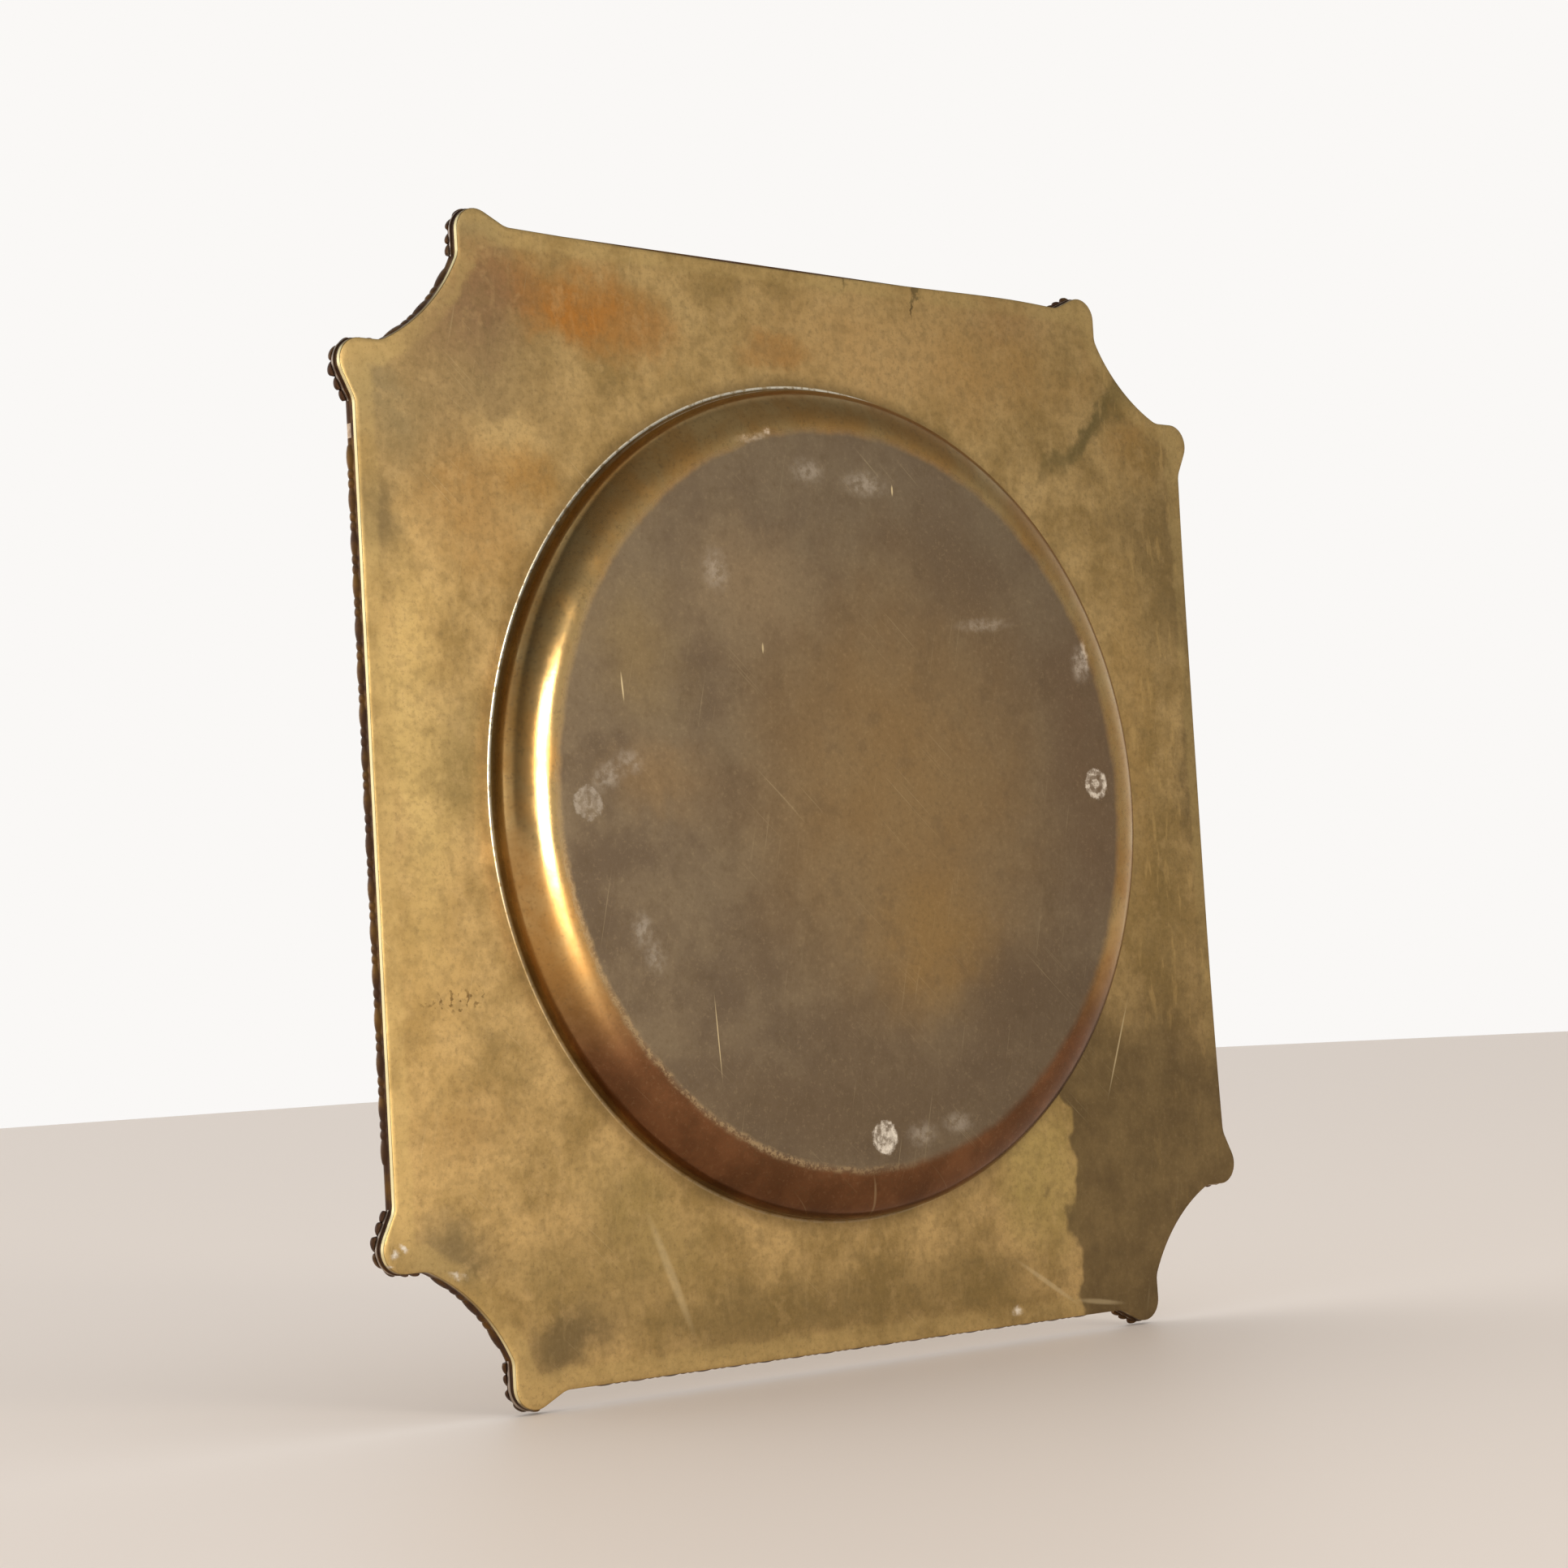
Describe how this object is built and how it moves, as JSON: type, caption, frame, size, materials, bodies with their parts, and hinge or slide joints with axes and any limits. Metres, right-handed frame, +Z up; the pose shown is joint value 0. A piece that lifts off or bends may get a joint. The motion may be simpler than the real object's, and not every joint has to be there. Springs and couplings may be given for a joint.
{
  "type": "paten plate",
  "caption": "Square brass plate with bitten corners, a round pressed well that holds bread or offerings, and a cast shell-and-bead border along its front edge.",
  "frame": {"origin": "on the surface that the plate stands on, under the middle of its bounding box", "axes": "+Z up with the plate standing on one edge, +Y out of the plain back, so the bordered front faces -Y, and +X to the right seen from the front"},
  "size_m": [0.2696, 0.014, 0.2696],
  "materials": {
    "sheet_brass": "pressed sheet brass, aged and blotchy, worn matt on the base",
    "cast_brass": "cast brass border, tarnished dark in the hollows and rubbed bright on the crests"
  },
  "bodies": {
    "root": {"border_strip_bottom": "cast_brass", "border_strip_left": "cast_brass", "border_strip_right": "cast_brass", "border_strip_top": "cast_brass", "corner_strip_bottom_left": "cast_brass", "corner_strip_bottom_right": "cast_brass", "corner_strip_top_left": "cast_brass", "corner_strip_top_right": "cast_brass", "plate_body": "sheet_brass", "shell_bottom_left": "cast_brass", "shell_bottom_right": "cast_brass", "shell_left_bottom": "cast_brass", "shell_left_top": "cast_brass", "shell_right_bottom": "cast_brass", "shell_right_top": "cast_brass", "shell_top_left": "cast_brass", "shell_top_right": "cast_brass"}
  },
  "joints": []
}
